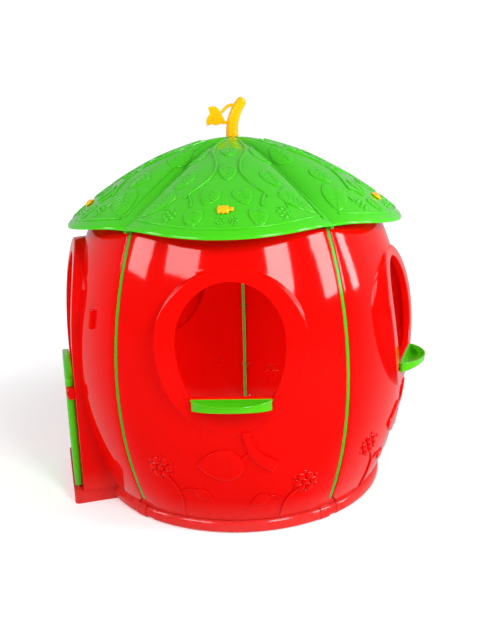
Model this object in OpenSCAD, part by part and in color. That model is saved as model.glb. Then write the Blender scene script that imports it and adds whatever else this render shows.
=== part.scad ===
/* [Walls] */
// Height of the top edge of the wall panels above the ground
wall_top = 1100; // [950:10:1300]
// Outer radius of the walls at their widest
belly_r = 695; // [600:5:800]
// Height at which the walls are widest
belly_z = 566; // [480:2:660]
// Radius of the bulge of the walls, seen from the side
curve_r = 1290; // [1100:10:1600]
// Thickness of the moulded walls
wall = 5; // [4:0.5:6]
// Depth of the flanges that bolt the panels together
flange_d = 45; // [38:1:54]
// Width of the shelf at the top of each panel
shelf_w = 40; // [30:1:48]
// Length of the tongue that drops into the rail
tongue_h = 12; // [8:1:16]

/* [Strips] */
// Thickness of the green strip at each corner
strip_t = 12; // [8:0.5:16]
// How far the strip lies below the wall surface
strip_sink = 2; // [0:0.5:6]

/* [Rails] */
// Height of the ring of rails
rail_h = 50; // [42:1:60]
// Width of a rail from its inner to its outer side
rail_w = 51; // [44:1:60]
// Radius of the rounded outer side of a rail
rail_round = 18; // [14:1:20]
// Thickness of a rail's skin
rail_skin = 4; // [3:0.5:5]
// How much thinner the spigot at a rail's end is
spigot_step = 2.5; // [2:0.5:3.5]
// How much thicker the sleeve at a rail's end is
sleeve_step = 3; // [2:0.5:4]
// Length of the sleeve along the ring
sleeve_l = 38; // [30:1:42]
// Height of the gusset that carries the corner strip
gusset_z = 84; // [72:1:94]

/* [Windows] */
// Width of the window
window_w = 380; // [320:5:420]
// Height of the window's widest place above the ground
window_z = 755; // [700:5:800]
// Height of the window above its widest place
window_rise = 196; // [170:2:230]
// Depth of the window's egg shape below its widest place
window_drop = 281; // [240:2:320]
// Height of the window's flat sill above the ground
window_sill = 565; // [540:5:600]
// Width of the apple frame
apple_w = 515; // [460:5:560]
// Height of the apple frame above the window's widest place
apple_rise = 237; // [205:1:260]
// Depth of the apple frame below the window's widest place
apple_drop = 326; // [290:2:350]
// How far the middle of a frame stands out of the wall
frame_proud = 3; // [2:0.5:8]
// Depth of the edge around an opening
jamb_d = 26; // [16:1:40]

/* [Doorway] */
// Width of the doorway
door_w = 370; // [320:5:400]
// Height of the top of the doorway above the ground
door_top = 985; // [900:5:1010]
// Sideways place of the doorway, towards the back
door_shift = 80; // [60:1:90]
// Width of the frame around the doorway
door_frame = 55; // [46:1:60]
// How far the doorway's flat frame stands out from the walls' widest place
door_out = 5; // [3:1:25]
// How far the top of the doorway's frame leans inwards
door_lean = 45; // [30:1:60]
// How much higher than the rails the step under the door is
step_up = 5; // [3:1:10]
// How far the step's front stands out from the walls' widest place
step_out = 43; // [39:1:65]

/* [Door leaf] */
// Thickness of the leaf
leaf_t = 28; // [22:1:30]
// Height of the top of the leaf above the ground
leaf_top = 560; // [520:5:620]
// Height of the arch at the top of the leaf
leaf_crown = 60; // [40:2:90]
// How much the leaf overlaps the frame at each side
leaf_lap = 18; // [12:1:24]
// Radius of the hinge pins
pin_r = 5; // [4:0.5:6]
// Height of the middle of the hinge bracket
bracket_z = 462; // [420:2:470]
// Height of the hinge bracket
bracket_h = 46; // [36:1:52]

/* [Trays] */
// Length of a tray along the wall
tray_w = 275; // [240:5:300]
// How far the middle of a tray stands out from its frame
tray_d = 80; // [80:5:120]
// How far a tray's ends stand out from its frame
tray_end = 12; // [8:1:20]
// Height of a tray at the wall
tray_h = 38; // [30:1:44]
// How much the underside of a tray rises towards its front
tray_lift = 18; // [0:1:20]
// Thickness of a tray's walls
tray_wall = 3; // [2:0.5:4]

/* [Roof] */
// Height of the valleys' lower ends above the wall panels
valley_clear = 14.6; // [12:0.2:30]
// Slope of the valleys at the tip
valley_slope = 0.33; // [0.28:0.01:0.38]
// Bend of the valleys, per metre
valley_bend = 0.24; // [0.18:0.01:0.28]
// How high a petal rises above the valleys
petal_bulge = 56; // [40:1:66]
// How far the roof reaches past the top of the walls at the valleys
eave_valley = 28.7; // [20:0.1:60]
// How far the roof reaches past the top of the walls at the middle of a petal
eave_mid = 87.7; // [60:0.1:140]
// Thickness of a petal
petal_t = 4; // [3:0.5:5]
// Height of the turned down edge of a petal
rim_lip = 14; // [8:1:20]
// Radius of the round opening left at the roof's tip
tip_r = 18; // [16:0.5:22]
// Depth of the bolted flange along a valley
seam_d = 30; // [24:1:36]
// How far the latches sit inside the top edge of the walls
latch_in = 4.3; // [0:0.1:16]

/* [Stalk] */
// Radius of the yellow stalk at its foot
stalk_r = 23; // [18:1:25]
// Height of the yellow stalk above the roof's tip
stalk_h = 150; // [120:2:180]
// Radius of the shank that holds the stalk
shank_r = 11; // [9:0.5:13]

/* [Fixings] */
// Radius of the bolts
bolt_r = 4; // [3:0.5:5]
// Radius of the small screws
screw_r = 2.5; // [2:0.5:3]

/* [Fits] */
// Gap between neighbouring pieces
gap = 0.3; // [0.2:0.1:0.5]
// Radial clearance of a turning pin in its bore
run_fit = 0.05; // [0.03:0.01:0.1]
// Radial clearance of a bolt in its hole
bolt_fit = 0.3; // [0.2:0.1:0.5]
// Gap on each side of a panel's tongue in the rail
tongue_fit = 1; // [0.6:0.1:1.4]
// Gap between the door leaf and the frame behind it
leaf_gap = 3; // [2:0.5:5]

/* [Hidden] */
$fn = 96;

SIDES = 5;
SIDE_A = 360 / SIDES;          // turn from one panel to the next
HALF_A = SIDE_A / 2;           // turn from a panel's middle to its corner
SWEEP_A = 84;                  // turn of a piece before its ends are cut
WALL_STEPS = 14;               // straight lengths in the wall's curve
FAR = 900;                     // beyond everything, from the centre
CHEEK_D = 260;                 // more than the depth of any frame's cheek
edge = strip_t / 2 + gap;      // from the corner plane to a panel's end
panel_z = rail_h + gap;        // underside of a panel
notch_half = 45;               // half width of the notch at a panel's foot
notch_z = gusset_z + 11;       // top of the notch
tongue_a = 30;                 // half the turn of a panel's tongue
rail_out = 10.7;               // from the walls' foot to the rails' outer side
rail_r1 = barrel(rail_h) + rail_out;
rail_r0 = rail_r1 - rail_w;
bolt_zs = [wall_top * 0.23, wall_top * 0.51, wall_top * 0.82];
bolt_in = 27;                  // from the wall's surface to a bolt's middle
door_face_d = belly_r + door_out;
step_d = belly_r + step_out;
step_h = rail_h + step_up;
rim_valley_r = barrel(wall_top) + eave_valley;
rim_mid_r = barrel(wall_top) + eave_mid;
latch_r = barrel(wall_top) - latch_in;
seam_rs = [for (k = [0.28, 0.543, 0.79]) rim_valley_r * k];  // the roof's bolts, from the centre
head_r = bolt_r * 2;
head_h = bolt_r;
nut_h = bolt_r * 1.5;
red = "#ff1408";
green = "#4fd01c";
deep_green = "#22b81e";
yellow = "#ffc400";
steel = "#b9bcc0";

// ---- shared shapes ----

// Radius of the wall's outer surface at height z
function barrel(z) = belly_r - curve_r + sqrt(curve_r * curve_r - (z - belly_z) * (z - belly_z));

function levels(z0, z1) = [for (i = [0 : WALL_STEPS]) z0 + (z1 - z0) * i / WALL_STEPS];

function flip(list) = [for (i = [len(list) - 1 : -1 : 0]) list[i]];

// Points of an arc about [x, y]
function arc(x, y, r, a0, a1, n) = [for (i = [0 : n]) [x + r * cos(a0 + (a1 - a0) * i / n),
    y + r * sin(a0 + (a1 - a0) * i / n)]];

// Upright section of the wall, moved out by `out` and `deep` thick
module band(z0, z1, out, deep) {
    zs = levels(z0, z1);
    polygon(concat([for (z = zs) [barrel(z) + out, z]], [for (z = flip(zs)) [barrel(z) + out - deep, z]]));
}

// A piece of revolution centred on the front
module hoop(turn) {
    rotate([0, 0, -90 - turn / 2]) rotate_extrude(angle = turn) children();
}

// Draws an outline, x across and y up, as a prism that runs outwards
module outwards(from, deep) {
    translate([0, -from, 0]) rotate([90, 0, 0]) linear_extrude(deep) children();
}

// Draws an upright section, distance by height, as a prism across
module across(x, w) {
    translate([x, 0, 0]) rotate([90, 0, -90]) linear_extrude(w) children();
}

// Everything past the two corner planes, less `keep` at each
module past_corners(keep) {
    for (s = [-1, 1])
        rotate([0, 0, s * HALF_A]) translate([s < 0 ? keep - FAR : -keep, -FAR, -FAR])
            cube([FAR, FAR * 2, FAR * 3]);
}

module at_side(i) {
    rotate([0, 0, i * SIDE_A]) children();
}

// ---- base rails ----

// Rounded section of a rail, grown by g but never below the ground
module rail_section(g) {
    r0 = rail_r0 - g;
    r1 = rail_r1 + g;
    z0 = max(0, -g);
    z1 = rail_h + g;
    q = rail_round + min(0, g);
    p = 5;
    polygon(concat(
        arc(r1 - q, z0 + q, q, -90, 0, 6),
        arc(r1 - q, z1 - q, q, 0, 90, 6),
        arc(r0 + p, z1 - p, p, 90, 180, 3),
        arc(r0 + p, z0 + p, p, 180, 270, 3)));
}

// Stretch of rail between two angles from the front
module rail_run(a0, a1, g, skin) {
    rotate([0, 0, a0 - 90]) rotate_extrude(angle = a1 - a0) difference() {
        rail_section(g);
        rail_section(g - skin);
    }
}

gusset_sink = 4;               // from the wall's surface to a gusset's face
gusset_t = 20;

module gusset() {
    half = notch_half - 3;
    rotate([0, 0, HALF_A]) intersection() {
        hoop(16) band(rail_h + gap * 2, gusset_z, -gusset_sink, gusset_t);
        outwards(0, FAR) polygon([
            [-half, rail_h], [half, rail_h],
            [strip_t / 2, gusset_z], [-strip_t / 2, gusset_z]]);
    }
}

// A rail; the slot for the panel's tongue runs from angle slot_a
module base_rail(slot_a = -tongue_a - 0.8) {
    per_mm = 180 / (PI * rail_r1);
    sleeve_a = sleeve_l * per_mm;
    lap = spigot_step + sleeve_step - 0.4;
    color(red) union() {
        difference() {
            union() {
                rail_run(-HALF_A + sleeve_a, HALF_A - sleeve_a, 0, rail_skin);
                rail_run(-HALF_A - sleeve_a + 0.6, -HALF_A + sleeve_a + 0.3, -spigot_step, rail_skin);
            }
            rotate([0, 0, slot_a - 90]) rotate_extrude(angle = tongue_a + 0.8 - slot_a)
                translate([tongue_r() - wall - tongue_fit, rail_h - tongue_h - 1])
                    square([wall + tongue_fit * 2, tongue_h + 2]);
        }
        rail_run(HALF_A - sleeve_a, HALF_A - 0.1, sleeve_step, lap);
        rail_run(HALF_A - sleeve_a - 0.3, HALF_A - sleeve_a + 0.3, sleeve_step, lap + rail_skin);
        gusset();
    }
}

// Outer radius of the tongue under a panel
function tongue_r() = rail_r1 - rail_round - 5;

function step_x0() = -door_shift - door_w / 2 - 25;
function step_x1() = -door_shift + door_w / 2 + door_frame - 5;
function hinge_x() = -door_shift + door_w / 2 + leaf_lap - leaf_t / 2;
function hinge_d() = door_face_d + leaf_gap + leaf_t / 2;

// Plan of the step, drawn inset by g, its back left inside the ring
module step_plan(g) {
    q = rail_round - g;
    polygon(concat(
        [[step_x1() - g, -400], [step_x0() + g, -400]],
        arc(step_x0() + g + q, -step_d + g + q, q, 180, 270, 6),
        arc(step_x1() - g - q, -step_d + g + q, q, 270, 360, 6)));
}

module base_rail_door() {
    color(red) {
        base_rail(asin((step_x1() + 2) / (tongue_r() - wall)));
        difference() {
            union() {
                difference() {
                    linear_extrude(step_h) step_plan(0);
                    translate([0, 0, -1]) linear_extrude(step_h - wall + 1) step_plan(wall);
                }
                translate([hinge_x(), -hinge_d(), 0]) cylinder(r = 12, h = step_h - 1);
            }
            translate([hinge_x(), -hinge_d(), 22]) cylinder(r = pin_r + run_fit, h = step_h);
            translate([0, 0, -1]) cylinder(r = rail_r0 + rail_skin / 2, h = step_h + 2);
            hoop(SWEEP_A) rail_section(-rail_skin / 2);
        }
    }
}

// ---- wall panels ----

// Flat outlines, x across and y up; g makes them larger all round
module egg(g) {
    intersection() {
        polygon([for (a = [0 : 10 : 350]) [(window_w / 2 + g) * cos(a),
            window_z + (a < 180 ? window_rise + g : window_drop + g) * sin(a)]]);
        translate([-FAR, window_sill - g]) square(FAR * 2);
    }
}

// Upside-down apple: a small cleft above and a blunt point below
function apple_rim(a, g) = a < 180
    ? apple_rise + g - 14 * exp(-pow((a - 96) / 9, 2))
    : apple_drop + g - 16 * exp(-pow((a - 270) / 22, 2)) + 16 * exp(-pow((a - 270) / 9, 2));

module apple(g) {
    polygon([for (a = [0 : 8 : 352]) [8 + (apple_w / 2 + g) * cos(a),
        window_z + apple_rim(a, g) * sin(a)]]);
}

module arch(g) {
    half = door_w / 2 + g;
    spring = door_top - door_w / 2;
    translate([-door_shift, 0]) polygon(concat(
        [[-half, step_h + gap], [half, step_h + gap]],
        arc(0, spring, half, 0, 180, 16)));
}

// Outline of the leaf, the top lower and rounder than the doorway's
module leaf_outline(g) {
    half = door_w / 2 + leaf_lap + g;
    x = -door_shift;
    polygon(concat(
        [[x - half, step_h + 5 - g], [x + half, step_h + 5 - g]],
        [for (a = [0 : 9 : 180]) [x + half * cos(a), leaf_top - leaf_crown + (leaf_crown + g) * sin(a)]]));
}

// Face of a frame at height z: level across, bulging upwards
function window_face(z) = barrel(z) + frame_proud;
function door_face(z) = z < belly_z ? door_face_d : door_face_d - door_lean * pow((z - belly_z) / 434, 2);

// Slab behind a frame's face, `deep` thick
module face_slab(is_door, deep) {
    zs = levels(step_h, wall_top);
    face = [for (z = zs) [is_door ? door_face(z) : window_face(z), z]];
    across(FAR / 2, FAR) polygon(concat(face, [for (p = flip(face)) p - [deep, 0]]));
}

// Space inside the walls
module inside() {
    rotate_extrude() polygon(concat([[0, 0], [0, wall_top + 1]],
        [for (z = flip(levels(0, wall_top + 1))) [barrel(z) - wall, z]]));
}

// Frame with a flat face, joined to the round wall by a cheek. Children are
// the outline, the same less the wall, and the opening and its lip if any
module frame(is_door) {
    intersection() {
        outwards(400, 400) difference() {
            children(0);
            if ($children > 2) children(2);
        }
        face_slab(is_door, wall);
    }
    difference() {
        intersection() {
            outwards(400, 400) difference() {
                children(0);
                children(1);
            }
            face_slab(is_door, CHEEK_D);
        }
        inside();
    }
    if ($children > 2) intersection() {
        outwards(400, 400) difference() {
            children(3);
            children(2);
        }
        face_slab(is_door, jamb_d);
    }
}

// Curved strip of width w along three points, for raised stems
module bent_strip(p0, p1, p2, w) {
    n = 6;
    at = [for (i = [0 : n]) let (t = i / n) (1 - t) * (1 - t) * p0 + 2 * t * (1 - t) * p1 + t * t * p2];
    dir = [for (i = [0 : n]) let (t = i / n, d = (1 - t) * (p1 - p0) + t * (p2 - p1)) d / norm(d)];
    polygon(concat(
        [for (i = [0 : n]) at[i] + w / 2 * [-dir[i].y, dir[i].x]],
        [for (i = [n : -1 : 0]) at[i] - w / 2 * [-dir[i].y, dir[i].x]]));
}

// Pointed leaf of length l and width w
module blade(l, w) {
    polygon([for (i = [0 : 23]) let (a = i * 15) [l / 2 * cos(a), w / 2 * sin(a) * (1 - 0.35 * pow(cos(a), 2))]]);
}

module wall_relief() {
    intersection() {
        hoop(SWEEP_A) band(panel_z + 8, wall_top, 3, 5);
        outwards(400, 400) union() {
            bent_strip([60, 440], [78, 360], [146, 318], 36);
            bent_strip([75, 385], [55, 345], [30, 325], 10);
            translate([-41, 314]) blade(162, 112);
            bent_strip([-246, 250], [-170, 190], [-187, 70], 9);
            bent_strip([236, 196], [160, 150], [162, 70], 9);
            translate([-114, 184]) rotate(35) blade(70, 34);
            translate([92, 159]) rotate(145) blade(70, 34);
        }
    }
    for (f = [[-22.9, 279], [23.1, 211]])
        rotate([0, 0, f[0]]) for (i = [0 : 6]) {
            z = f[1] + (i > 0 ? 29 * sin(i * 60) : 0);
            translate([i > 0 ? 29 * cos(i * 60) : 0, -barrel(z) + 6, z])
                rotate([90, 0, 0]) cylinder(r = i > 0 ? 15 : 13, h = 10, $fn = 24);
        }
}

// Socket that the foot of a roof latch turns in, on the latch's axis
module latch_post() {
    difference() {
        on_latch_axis() translate([0, 0, -140]) cylinder(r = post_r, h = 140 + post_top);
        translate([-FAR, -FAR, -FAR]) cube([FAR * 2, FAR * 2, FAR + wall_top - wall]);
        on_latch_axis() latch_room();
    }
}

module latch_room() {
    translate([0, 0, post_top - 16]) cylinder(r = foot_l / 2 + 2.5, h = 10);
    translate([-foot_w / 2 - 1, -foot_l / 2 - 0.7, post_top - 7]) cube([foot_w + 2, foot_l + 1.4, 8]);
}

// The round wall with its edges, cut away for the frame
module round_wall(kind) {
    difference() {
        union() {
            hoop(SWEEP_A) band(panel_z, wall_top, 0, wall);
            if (kind != "door") wall_relief();
            panel_edges();
        }
        if (kind == "door") {
            outwards(400, 400) arch(door_frame - 1);
            foot_x0 = -door_shift - door_w / 2 - door_frame;
            translate([foot_x0, -FAR, -1]) cube([step_x1() + 6 - foot_x0, 500, step_h + gap + 2]);
        }
        else outwards(400, 400) apple(-1);
    }
}

module wall_panel(kind) {
    color(red) difference() {
        union() {
            round_wall(kind);
            if (kind == "door") {
                frame(true) {
                    arch(door_frame);
                    arch(door_frame - wall);
                    arch(0);
                    arch(wall);
                }
                bell_box();
            }
            else if (kind == "window") frame(false) {
                apple(0);
                apple(-wall);
                egg(0);
                egg(wall);
            }
            else frame(false) {
                apple(0);
                apple(-wall);
            }
        }
        past_corners(edge);
        for (s = [-1, 1]) rotate([0, 0, s * HALF_A]) {
            outwards(400, 400) polygon([[-notch_half, rail_h - 20], [notch_half, rail_h - 20],
                [notch_half, rail_h], [0, notch_z], [-notch_half, rail_h]]);
            bolt_holes();
        }
        if (kind == "window") screw_holes();
        if (kind == "door") bracket_holes();
    }
}

bell_a = 23.5;                 // turn of the bell box from the panel's middle
bell_z = 785;
bell_w = 26;
bell_h = 70;
bell_out = 10;

module bell_box() {
    rotate([0, 0, bell_a]) translate([-bell_w / 2, -barrel(bell_z) - bell_out, bell_z - bell_h / 2])
        cube([bell_w, bell_out + 14, bell_h]);
}

// Flanges, shelf, foot, tongue and latch post of a panel
module panel_edges() {
    for (s = [-1, 1]) rotate([0, 0, s * HALF_A])
        across(s < 0 ? edge + wall : -edge, wall) band(panel_z, wall_top, -3, flange_d - 3);
    top_r = barrel(wall_top) - 2;
    hoop(SWEEP_A) translate([top_r - shelf_w, wall_top - wall]) square([shelf_w, wall]);
    hoop(SWEEP_A) translate([tongue_r() - wall - 3, panel_z])
        square([barrel(panel_z) - 3 - (tongue_r() - wall - 3), wall]);
    hoop(tongue_a * 2) translate([tongue_r() - wall, rail_h - tongue_h]) square([wall, tongue_h + 2]);
    translate([-40, -top_r, wall_top - wall]) cube([80, top_r - latch_foot_r() + 24, wall]);
    latch_post();
}

// ---- corner strips and bolts ----

module bolt_places() {
    for (z = bolt_zs) translate([0, -barrel(z) + bolt_in, z]) rotate([0, 90, 0]) children();
}

module bolt_holes() {
    bolt_places() cylinder(r = bolt_r + bolt_fit, h = 80, center = true, $fn = 32);
}

module corner_strip() {
    color(deep_green) difference() {
        across(strip_t / 2, strip_t) band(gusset_z + gap, wall_top, -strip_sink, flange_d + 3);
        bolt_holes();
    }
}

// A bolt along the axis, its head on one side of a stack t thick
module bolt(t) {
    translate([0, 0, -t / 2 - nut_h - 1]) cylinder(r = bolt_r, h = t + nut_h + 2, $fn = 32);
    translate([0, 0, t / 2]) cylinder(r = head_r, h = head_h, $fn = 32);
}

module nut(t) {
    translate([0, 0, -t / 2 - nut_h]) difference() {
        cylinder(r = head_r, h = nut_h, $fn = 6);
        translate([0, 0, -1]) cylinder(r = bolt_r + run_fit, h = nut_h + 2, $fn = 32);
    }
}

module at_corners() {
    for (i = [0 : SIDES - 1]) rotate([0, 0, HALF_A + i * SIDE_A]) children();
}

// ---- roof ----

tip_z = wall_top + valley_clear + valley_slope * rim_valley_r
    + valley_bend * rim_valley_r * rim_valley_r / 1000;
BULGE_R = rim_mid_r * 1.08;    // radius at which a petal's bulge would end
PETAL_ROWS = 11;
PETAL_COLS = 14;

function valley_z(r) = tip_z - valley_slope * r - valley_bend * r * r / 1000;
function bulge(r) = petal_bulge * pow(sin(180 * r / BULGE_R), 0.6);
// Height of the roof at radius r and at v, -1 to 1 from valley to valley
function roof_z(r, v) = valley_z(r) + bulge(r) * (1 - pow(abs(v), 2.4));
function rim_r(v) = rim_valley_r + (rim_mid_r - rim_valley_r) * (1 - pow(abs(v), 2.2));

latch_z = roof_z(latch_r, 0);
latch_tilt = atan((roof_z(latch_r - 2, 0) - roof_z(latch_r + 2, 0)) / 4);
post_r = 17;
post_top = -15;                // along the latch's axis, from the petal
collar_r = 11;
collar_top = 1;
foot_l = 22;
foot_w = 7;
latch_shaft_r = 4;
function latch_foot_r() = latch_r - (latch_z - wall_top) * tan(latch_tilt);

module on_latch_axis() {
    translate([0, -latch_r, latch_z]) rotate([latch_tilt, 0, 0]) children();
}

function petal_point(r, v, drop) = let (a = v * HALF_A)
    [r * sin(a), -r * cos(a) - gap / sin(HALF_A), roof_z(r, v) - drop];

// One cross-section of a petal, a closed loop from tip to rim and back
function petal_loop(v) = let (n = PETAL_ROWS, r1 = rim_r(v), r2 = r1 - petal_t) concat(
    [for (i = [0 : n]) petal_point(tip_r + (r1 - tip_r) * i / n, v, 0)],
    [petal_point(r1, v, rim_lip), petal_point(r2, v, rim_lip)],
    [for (i = [n : -1 : 0]) petal_point(tip_r + (r2 - tip_r) * i / n, v, petal_t)]);

module petal_skin() {
    loops = [for (j = [0 : PETAL_COLS]) petal_loop(-1 + 2 * j / PETAL_COLS)];
    n = len(loops[0]);
    m = PETAL_COLS;
    polyhedron(
        points = [for (l = loops) for (p = l) p],
        faces = concat(
            [for (j = [0 : m - 1]) for (i = [0 : n - 1]) let (k = (i + 1) % n)
                [j * n + i, (j + 1) * n + k, j * n + k]],
            [for (j = [0 : m - 1]) for (i = [0 : n - 1]) let (k = (i + 1) % n)
                [j * n + i, (j + 1) * n + i, (j + 1) * n + k]],
            [[for (i = [0 : n - 1]) i]],
            [[for (i = [n - 1 : -1 : 0]) m * n + i]]));
}

seam_x = gap + 1 + petal_t;    // from the corner plane to a seam's far side

// Upright flange along a valley, with a foot that stands on the strip
module seam(s) {
    inner = 80;
    foot_r = barrel(wall_top) - flange_d + 2;
    end = rim_valley_r - 3;
    rs = [for (i = [0 : 8]) inner + (end - inner) * i / 8];
    rotate([0, 0, s * HALF_A]) across(s < 0 ? seam_x : petal_t - seam_x, petal_t) difference() {
        polygon(concat(
            [for (r = rs) [r, valley_z(r) - petal_t * 0.3]],
            [[end, wall_top - 4], [barrel(wall_top) + 6, wall_top - 4], [barrel(wall_top) + 6, wall_top + gap],
                [foot_r, wall_top + gap], [foot_r, valley_z(foot_r) - seam_d]],
            [for (r = flip(rs)) if (r < foot_r - 10) [r, valley_z(r) - seam_d]]));
        for (r = seam_rs) translate([r, valley_z(r) - seam_d / 2 - 2]) circle(r = bolt_r + bolt_fit, $fn = 32);
    }
}

module roof_petal() {
    color(green) difference() {
        union() {
            petal_skin();
            for (s = [-1, 1]) seam(s);
            on_latch_axis() translate([0, 0, post_top + gap])
                cylinder(r = collar_r, h = collar_top - post_top - gap, $fn = 32);
        }
        on_latch_axis() translate([0, 0, -40]) cylinder(r = latch_shaft_r + run_fit, h = 80, $fn = 32);
    }
}

module seam_bolt_places() {
    for (r = seam_rs) translate([0, -r, valley_z(r) - seam_d / 2 - 2]) rotate([0, 90, 0]) children();
}

// Ladybird-shaped head, shaft and cross foot of a roof latch
module roof_latch() {
    color(yellow) on_latch_axis() {
        translate([0, 0, collar_top + gap]) {
            linear_extrude(7) polygon([for (a = [0 : 15 : 345]) [-8 + 23 * cos(a), 16.5 * sin(a)]]);
            linear_extrude(11) polygon([for (a = [0 : 15 : 345]) [-8 + 19 * cos(a), 12.5 * sin(a)]]);
            translate([19, 0, 0]) cylinder(r = 9, h = 6, $fn = 32);
        }
        translate([0, 0, post_top - 13]) cylinder(r = latch_shaft_r, h = 15 - post_top, $fn = 32);
        translate([-foot_l / 2, -foot_w / 2, post_top - 14]) cube([foot_l, foot_w, 6]);
    }
}

// ---- stalk and hub ----

hub_r = 68;
hub_t = 8;
hub_z = valley_z(hub_r) - petal_t - gap;         // top of the hub's disc
stalk_foot_r = stalk_r + 4;
stalk_z = roof_z(stalk_foot_r, 0) + gap;         // underside of the stalk's foot
nut_t = 14;

module roof_hub() {
    color(green) translate([0, 0, hub_z - hub_t]) difference() {
        union() {
            cylinder(r = hub_r, h = hub_t);
            cylinder(r = tip_r - 1, h = stalk_z - gap - hub_z + hub_t);
        }
        translate([0, 0, -1]) cylinder(r = shank_r + bolt_fit, h = 80);
    }
}

stalk_bend_r = 62;             // radius of the bend in the stalk's middle line
stalk_bend_a = 52;             // turn of the bend

module stalk() {
    straight = stalk_h * 0.5;
    top_r = stalk_r * 0.8;
    color(yellow) translate([0, 0, stalk_z]) {
        cylinder(r = stalk_foot_r, h = 6);
        cylinder(r1 = stalk_r, r2 = top_r, h = straight);
        translate([stalk_bend_r, 0, straight - 8]) rotate([90, 0, 180])
            rotate_extrude(angle = stalk_bend_a) translate([stalk_bend_r, 0]) circle(r = top_r - 1.5);
        translate([stalk_bend_r, 0, straight - 8]) rotate([0, stalk_bend_a, 0]) translate([-stalk_bend_r, 0, -3]) {
            cylinder(r = top_r - 2.5, h = stalk_h - straight - 38);
            translate([0, 0, stalk_h - straight - 38]) sphere(r = top_r - 1);
        }
        translate([0, 0, hub_z - hub_t - nut_t - 8 - stalk_z])
            cylinder(r = shank_r, h = stalk_z - hub_z + hub_t + nut_t + 10);
        rotate([90, 0, 0]) translate([0, 0, -4]) linear_extrude(8) {
            bent_strip([14, stalk_h * 0.72], [-8, stalk_h * 0.82], [-44, stalk_h * 0.7], 9);
            stalk_leaf();
        }
    }
}

// Small leaf with scalloped edges at the end of the side branch
module stalk_leaf() {
    translate([-76, stalk_h * 0.5]) rotate(6) polygon([
        [-38, 30], [-22, 22], [-2, 30], [22, 34], [42, 24], [46, 6],
        [32, -6], [20, 2], [8, -12], [-4, -2], [-18, -16], [-26, -2], [-40, -4], [-32, 10]]);
}

module stalk_nut() {
    color(yellow) translate([0, 0, hub_z - hub_t - gap - nut_t]) difference() {
        cylinder(r = 26, h = nut_t, $fn = 6);
        translate([0, 0, -1]) cylinder(r = shank_r + run_fit, h = nut_t + 2);
    }
}

// ---- trays ----

tray_x = 6;                    // middle of a tray, from the middle of the wall
tray_rim = 3;                  // how far the rim stands out
tray_back = window_face(window_sill - tray_h / 2) + gap;
tray_screw_x = tray_w / 2 - 26;
tray_screw_z = window_sill - tray_h / 2;

// Plan of a tray inset by g, and by b at the wall; its front is bowed
module tray_plan(g, b) {
    half = tray_w / 2 - g;
    bow = tray_d - tray_end;
    r = (tray_w * tray_w / 4 + bow * bow) / (2 * bow);
    sweep = asin(tray_w / 2 / r);
    polygon(concat(
        [[half, -tray_back - b], [-half, -tray_back - b]],
        [for (i = [0 : 16]) let (a = -sweep + 2 * sweep * i / 16)
            [max(-half, min(half, (r - g) * sin(a))), r - tray_back - tray_d - (r - g) * cos(a)]]));
}

// Everything above a tray's sloping underside, raised by up
module above_tray_floor(up) {
    far = tray_back + tray_d + 5;
    across(tray_w, tray_w * 2) polygon([
        [tray_back - 20, up], [tray_back + tray_end, up], [far, tray_lift + up],
        [far, tray_h * 3], [tray_back - 20, tray_h * 3]]);
}

module tray() {
    color(deep_green) difference() {
        translate([tray_x, 0, window_sill - tray_h]) difference() {
            intersection() {
                union() {
                    linear_extrude(tray_h) tray_plan(tray_rim, 0);
                    translate([0, 0, tray_h - tray_wall]) linear_extrude(tray_wall) tray_plan(0, 0);
                }
                above_tray_floor(0);
            }
            intersection() {
                linear_extrude(tray_h * 2) tray_plan(tray_rim + tray_wall, tray_wall);
                above_tray_floor(tray_wall);
            }
        }
        screw_holes();
    }
}

module screw_places() {
    for (s = [-1, 1]) translate([tray_x + s * tray_screw_x, -tray_back, tray_screw_z])
        rotate([90, 0, 0]) children();
}

module screw_holes() {
    screw_places() translate([0, 0, -30]) cylinder(r = screw_r + 0.2, h = 60, $fn = 24);
}

module tray_screws() {
    color(steel) for (i = [0, 1]) at_side(i) screw_places() {
        translate([0, 0, -12]) cylinder(r = screw_r, h = 12 + tray_wall + 1, $fn = 24);
        translate([0, 0, tray_wall]) cylinder(r = screw_r * 2, h = 2.5, $fn = 24);
    }
}

// ---- door ----

leaf_z = step_h + 5;
notch_gap = 2;                 // above and below the bracket
knuckle_r = leaf_t / 2 + 1;
leaf_skin = 8;
bracket_l = 34;                // from the hinge's axis to the bracket's end
bracket_out = 8;               // from the hinge's axis to its outer face
pin_grip = 35;                 // length of the upper pin beyond the bracket
pin_sink = 31;                 // depth of the lower pin in the step

module at_hinge(z) {
    translate([hinge_x(), -hinge_d(), z]) children();
}

module door_leaf() {
    half = leaf_t / 2;
    color(deep_green) difference() {
        union() {
            intersection() {
                outwards(hinge_d() - half, leaf_t) leaf_outline(0);
                at_hinge(0) translate([-FAR, -FAR, 0]) cube([FAR, FAR * 2, FAR]);
            }
            at_hinge(leaf_z) cylinder(r = half, h = leaf_top - leaf_crown - leaf_z);
        }
        outwards(hinge_d() - half - 1, leaf_t - leaf_skin + 1) intersection() {
            leaf_outline(-leaf_skin);
            translate([hinge_x() - knuckle_r - 12 - FAR, 0]) square(FAR);
        }
        at_hinge(bracket_z - bracket_h / 2 - notch_gap) translate([-knuckle_r - 5, -half - 1, 0])
            cube([knuckle_r * 2 + 10, leaf_t + 2, bracket_h + notch_gap * 2]);
        at_hinge(bracket_z - bracket_h / 2 - pin_grip - 1)
            cylinder(r = pin_r + run_fit, h = bracket_h + pin_grip + 14, $fn = 32);
        at_hinge(0) cylinder(r = pin_r + run_fit, h = leaf_z + 40, $fn = 32);
    }
}

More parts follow.
